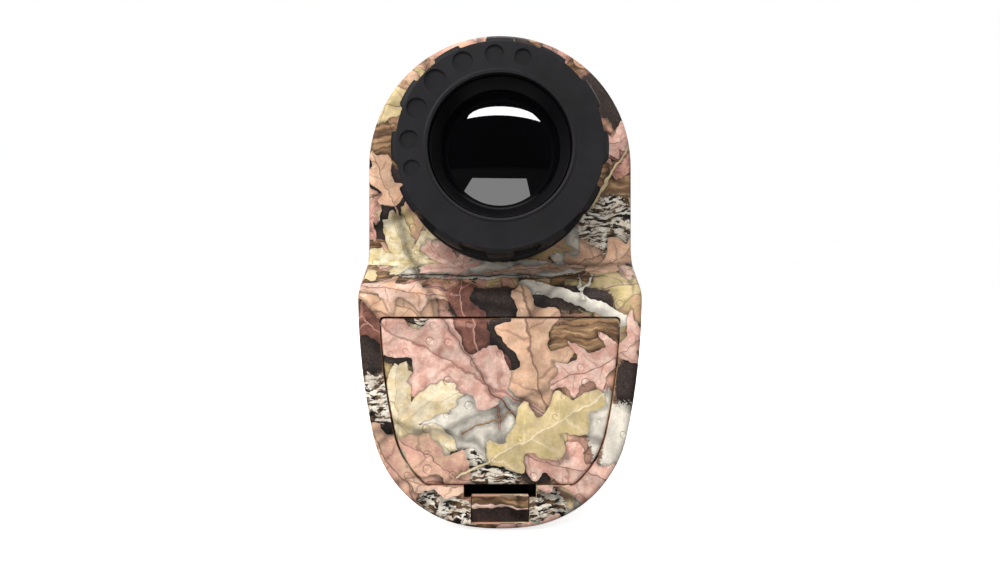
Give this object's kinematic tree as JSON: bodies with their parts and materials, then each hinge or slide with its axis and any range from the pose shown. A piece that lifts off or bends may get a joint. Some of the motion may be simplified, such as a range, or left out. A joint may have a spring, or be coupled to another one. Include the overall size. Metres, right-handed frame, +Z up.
{
  "type": "laser rangefinder",
  "caption": "Vertical handheld laser rangefinder with notched diopter eyepiece, camouflage shell, top-hinged battery door with snap latch, objective and emitter lenses in front.",
  "frame": {"origin": "centre of the overall box in x and y, at the lowest point of the body", "axes": "+Z up; the user's eye is at -Y and the objective looks along +Y; +X is the user's right"},
  "size_m": [0.0452, 0.105, 0.0801],
  "materials": {
    "camo_shell": "satin printed leaf camouflage",
    "black_plastic": "fine moulded texture",
    "soft_rubber": "satin",
    "grip_rubber": "matte, dimpled",
    "seal_rubber": "satin",
    "eye_glass": "coated",
    "front_glass": "amber coated",
    "prism_glass": "polished",
    "black_metal": "black anodised",
    "steel": "bright",
    "spring_steel": "nickel plated",
    "circuit_board": "solder mask",
    "chip_black": "moulded",
    "switch_black": "moulded",
    "sensor_metal": "gold plated",
    "wire_red": "satin",
    "battery_wrap": "printed sleeve",
    "ribbon_amber": "flexible film",
    "display_glass": "liquid crystal panel"
  },
  "bodies": {
    "case": {"rear_housing": "camo_shell", "front_housing": "camo_shell", "housing_seal": "seal_rubber", "front_bezel": "black_plastic", "side_grip_left": "grip_rubber", "side_grip_right": "grip_rubber", "case_screws": "steel", "lanyard_bar": "steel", "eyepiece_barrel": "black_plastic", "objective_barrel": "black_metal", "objective_lens": "front_glass", "objective_retainer": "black_metal", "objective_oring": "seal_rubber", "emitter_tube": "black_plastic", "emitter_lens": "front_glass", "emitter_oring": "seal_rubber", "laser_diode": "sensor_metal", "laser_socket": "black_plastic", "laser_board": "circuit_board", "prism_front": "prism_glass", "prism_rear": "prism_glass", "prism_holder": "black_plastic", "prism_clip": "spring_steel", "display_lcd": "display_glass", "display_ribbon": "ribbon_amber", "receiver_board": "circuit_board", "apd_sensor": "sensor_metal", "main_board": "circuit_board", "board_parts": "chip_black", "board_screws": "steel", "laser_wires": "wire_red", "battery_wires": "wire_red", "fire_switch": "switch_black", "button_board": "circuit_board", "mode_switch": "switch_black", "side_board": "circuit_board", "battery_box": "black_plastic", "battery_left": "battery_wrap", "battery_right": "battery_wrap", "front_contacts": "spring_steel", "door_hinge_pin": "steel"},
    "diopter": {"diopter_ring": "black_plastic", "eyecup": "soft_rubber"},
    "focus_cell": {"eyepiece_cell": "black_metal", "eyepiece_oring": "seal_rubber", "eye_lens": "eye_glass", "field_lens": "eye_glass", "lens_retainer": "black_plastic", "focus_pin": "steel"},
    "fire_key": {"fire_button": "soft_rubber"},
    "mode_key": {"mode_button": "soft_rubber"},
    "door": {"battery_door": "camo_shell", "door_gasket": "seal_rubber", "door_contact": "spring_steel"},
    "latch": {"door_latch": "camo_shell"}
  },
  "joints": [
    {"name": "diopter_turn", "type": "hinge", "parent": "case", "child": "diopter", "pos_m": [0, -0.045, 0.0575], "axis": [0, 1, 0], "range_deg": [-120.5, 120.5]},
    {"name": "eyepiece_focus", "type": "slide", "parent": "case", "child": "focus_cell", "axis": [0, 1, 0], "range_m": [-0.0012, 0.0012]},
    {"name": "fire_press", "type": "slide", "parent": "case", "child": "fire_key", "axis": [0, 0, -1], "range_m": [0, 0.0006], "stiffness_N_per_m": 100, "springref_m": -0.003},
    {"name": "mode_press", "type": "slide", "parent": "case", "child": "mode_key", "axis": [1, 0, 0], "range_m": [0, 0.0006], "stiffness_N_per_m": 20, "springref_m": -0.01},
    {"name": "door_open", "type": "hinge", "parent": "case", "child": "door", "pos_m": [0, -0.0433, 0.0315], "axis": [-1, 0, 0], "range_deg": [0, 95]},
    {"name": "latch_squeeze", "type": "hinge", "parent": "door", "child": "latch", "pos_m": [0, -0.0374, 0.0073], "axis": [-1, 0, 0], "range_deg": [0, 7], "stiffness_Nm_per_rad": 0.0005, "springref_deg": -28.65}
  ],
  "couplings": [
    {"joint": "diopter_turn", "follows": "eyepiece_focus", "rad_per_m": 1745.3}
  ]
}
